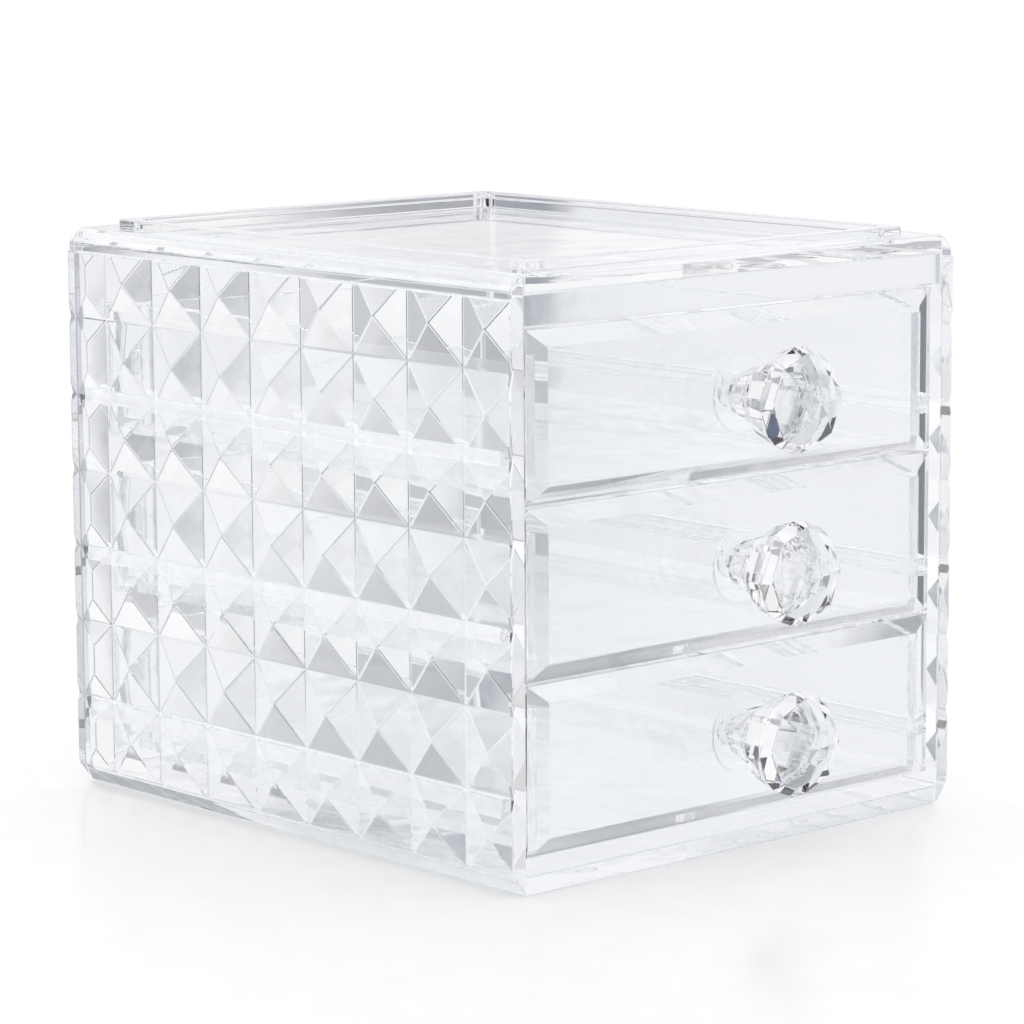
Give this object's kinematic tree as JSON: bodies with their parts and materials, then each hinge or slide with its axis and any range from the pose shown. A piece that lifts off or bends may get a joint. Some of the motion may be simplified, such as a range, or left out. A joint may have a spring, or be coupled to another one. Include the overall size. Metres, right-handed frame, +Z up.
{
  "type": "drawer organizer box",
  "caption": "Clear desktop vanity box with pyramid-cut sides, a rimmed tray on top and bevelled drawers that slide out on channel runners by faceted knobs.",
  "frame": {"origin": "centre of the underside of the base panel, between the side panels and between the front and back edges of the case", "axes": "+Z up, -Y out of the drawers, +X to the right as seen from the front"},
  "size_m": [0.1806, 0.234, 0.175],
  "materials": {
    "clear_case": "polished clear acrylic",
    "clear_runner": "sawn and flame-polished clear acrylic strip",
    "clear_drawer": "moulded clear acrylic",
    "clear_front": "polished clear acrylic with bevelled edges",
    "cut_knob": "diamond-cut polished clear acrylic",
    "clear_stud": "turned clear acrylic"
  },
  "bodies": {
    "case": {"base_panel": "clear_case", "left_side_panel": "clear_case", "right_side_panel": "clear_case", "back_panel": "clear_case", "front_header": "clear_case", "top_tray": "clear_case", "bottom_runner_left": "clear_runner", "bottom_runner_right": "clear_runner", "middle_runner_left": "clear_runner", "middle_runner_right": "clear_runner", "top_runner_left": "clear_runner", "top_runner_right": "clear_runner"},
    "bottom_drawer": {"bottom_drawer_tub": "clear_drawer", "bottom_drawer_front": "clear_front", "bottom_knob_rosette": "cut_knob", "bottom_knob_neck": "cut_knob", "bottom_knob_gem": "cut_knob", "bottom_knob_stud": "clear_stud"},
    "middle_drawer": {"middle_drawer_tub": "clear_drawer", "middle_drawer_front": "clear_front", "middle_knob_rosette": "cut_knob", "middle_knob_neck": "cut_knob", "middle_knob_gem": "cut_knob", "middle_knob_stud": "clear_stud"},
    "top_drawer": {"top_drawer_tub": "clear_drawer", "top_drawer_front": "clear_front", "top_knob_rosette": "cut_knob", "top_knob_neck": "cut_knob", "top_knob_gem": "cut_knob", "top_knob_stud": "clear_stud"}
  },
  "joints": [
    {"name": "bottom_drawer_slide", "type": "slide", "parent": "case", "child": "bottom_drawer", "axis": [0, -1, 0], "range_m": [0, 0.14]},
    {"name": "middle_drawer_slide", "type": "slide", "parent": "case", "child": "middle_drawer", "axis": [0, -1, 0], "range_m": [0, 0.14]},
    {"name": "top_drawer_slide", "type": "slide", "parent": "case", "child": "top_drawer", "axis": [0, -1, 0], "range_m": [0, 0.14]}
  ]
}
